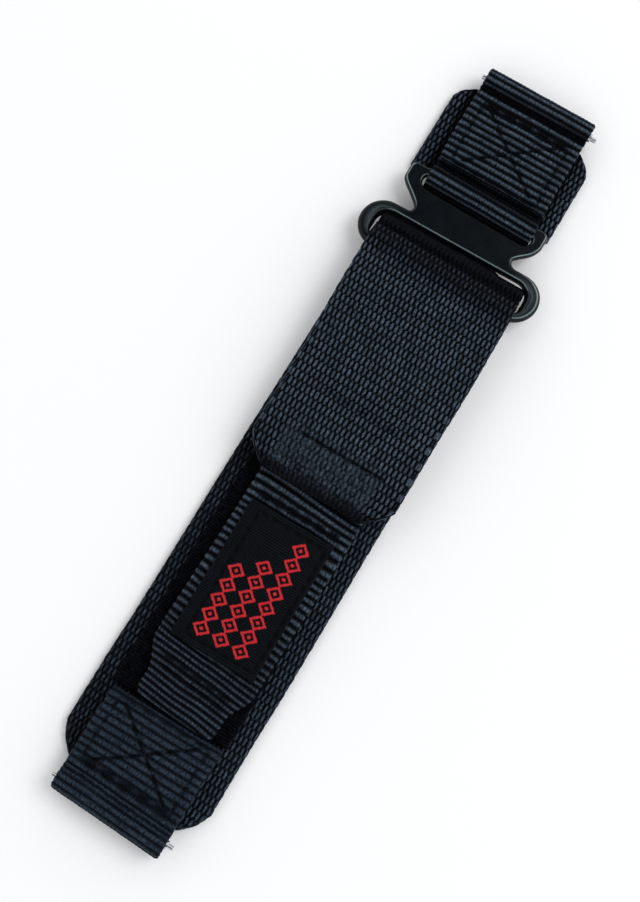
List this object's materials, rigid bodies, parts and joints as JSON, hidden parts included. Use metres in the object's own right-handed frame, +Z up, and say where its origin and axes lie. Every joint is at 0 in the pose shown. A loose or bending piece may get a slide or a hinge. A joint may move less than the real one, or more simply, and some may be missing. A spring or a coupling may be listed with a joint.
{
  "type": "hook and loop watch strap",
  "caption": "Two-piece woven watch strap closed by a hook and loop flap through a metal buckle, with sprung bars at both lug ends.",
  "frame": {"origin": "under the middle of the closed strap's length, on the surface that it rests on", "axes": "+Y along the strap towards the short strap, +Z up from the wrist side, +X across the strap"},
  "size_m": [0.033, 0.1378, 0.0054],
  "materials": {
    "navy_webbing": "coarse basket-woven nylon, near-black navy",
    "navy_grosgrain": "ribbed nylon grosgrain, near-black navy",
    "loop_pile": "brushed loop pile",
    "hook_tape": "moulded hook tape",
    "woven_label": "fine damask weave",
    "satin_black_steel": "satin black coating",
    "bright_steel": "bright stainless steel"
  },
  "bodies": {
    "long_strap": {"base_webbing": "navy_webbing", "loop_field": "loop_pile", "lower_lug_band": "navy_grosgrain"},
    "flap": {"flap_webbing": "navy_webbing", "hook_patch": "hook_tape", "tab_root": "navy_grosgrain"},
    "pull_tab": {"tab_band": "navy_grosgrain", "label_patch": "woven_label"},
    "buckle": {"buckle_frame": "satin_black_steel"},
    "short_strap": {"short_pad": "navy_webbing", "upper_lug_band": "navy_grosgrain"},
    "lower_bar": {"lower_bar_tube": "bright_steel", "lower_bar_spring": "bright_steel"},
    "lower_left_tip": {"lower_bar_left_tip": "bright_steel"},
    "lower_right_tip": {"lower_bar_right_tip": "bright_steel"},
    "upper_bar": {"upper_bar_tube": "bright_steel", "upper_bar_spring": "bright_steel"},
    "upper_left_tip": {"upper_bar_left_tip": "bright_steel"},
    "upper_right_tip": {"upper_bar_right_tip": "bright_steel"}
  },
  "joints": [
    {"name": "flap_peel", "type": "hinge", "parent": "long_strap", "child": "flap", "pos_m": [0, 0.0307, 0.0054], "axis": [-1, 0, 0], "range_deg": [0, 150]},
    {"name": "tab_lift", "type": "hinge", "parent": "flap", "child": "pull_tab", "pos_m": [0, -0.0096, 0.0039], "axis": [-1, 0, 0], "range_deg": [0, 75]},
    {"name": "buckle_swing", "type": "hinge", "parent": "long_strap", "child": "buckle", "pos_m": [0, 0.0326, 0.0027], "axis": [-1, 0, 0], "range_deg": [-110, 80]},
    {"name": "short_strap_swing", "type": "hinge", "parent": "buckle", "child": "short_strap", "pos_m": [0, 0.0473, 0.0027], "axis": [-1, 0, 0], "range_deg": [-60, 60]},
    {"name": "lower_bar_turn", "type": "hinge", "parent": "long_strap", "child": "lower_bar", "pos_m": [0, -0.06675, 0.0024], "axis": [1, 0, 0], "continuous": true},
    {"name": "lower_left_tip_press", "type": "slide", "parent": "lower_bar", "child": "lower_left_tip", "axis": [1, 0, 0], "range_m": [0, 0.0012], "stiffness_N_per_m": 1500, "springref_m": -0.002, "deforming": ["lower_bar_spring"]},
    {"name": "lower_right_tip_press", "type": "slide", "parent": "lower_bar", "child": "lower_right_tip", "axis": [-1, 0, 0], "range_m": [0, 0.0012], "stiffness_N_per_m": 1500, "springref_m": -0.002, "deforming": ["lower_bar_spring"]},
    {"name": "upper_bar_turn", "type": "hinge", "parent": "short_strap", "child": "upper_bar", "pos_m": [0, 0.06675, 0.0024], "axis": [1, 0, 0], "continuous": true},
    {"name": "upper_left_tip_press", "type": "slide", "parent": "upper_bar", "child": "upper_left_tip", "axis": [1, 0, 0], "range_m": [0, 0.0012], "stiffness_N_per_m": 1500, "springref_m": -0.002, "deforming": ["upper_bar_spring"]},
    {"name": "upper_right_tip_press", "type": "slide", "parent": "upper_bar", "child": "upper_right_tip", "axis": [-1, 0, 0], "range_m": [0, 0.0012], "stiffness_N_per_m": 1500, "springref_m": -0.002, "deforming": ["upper_bar_spring"]}
  ]
}
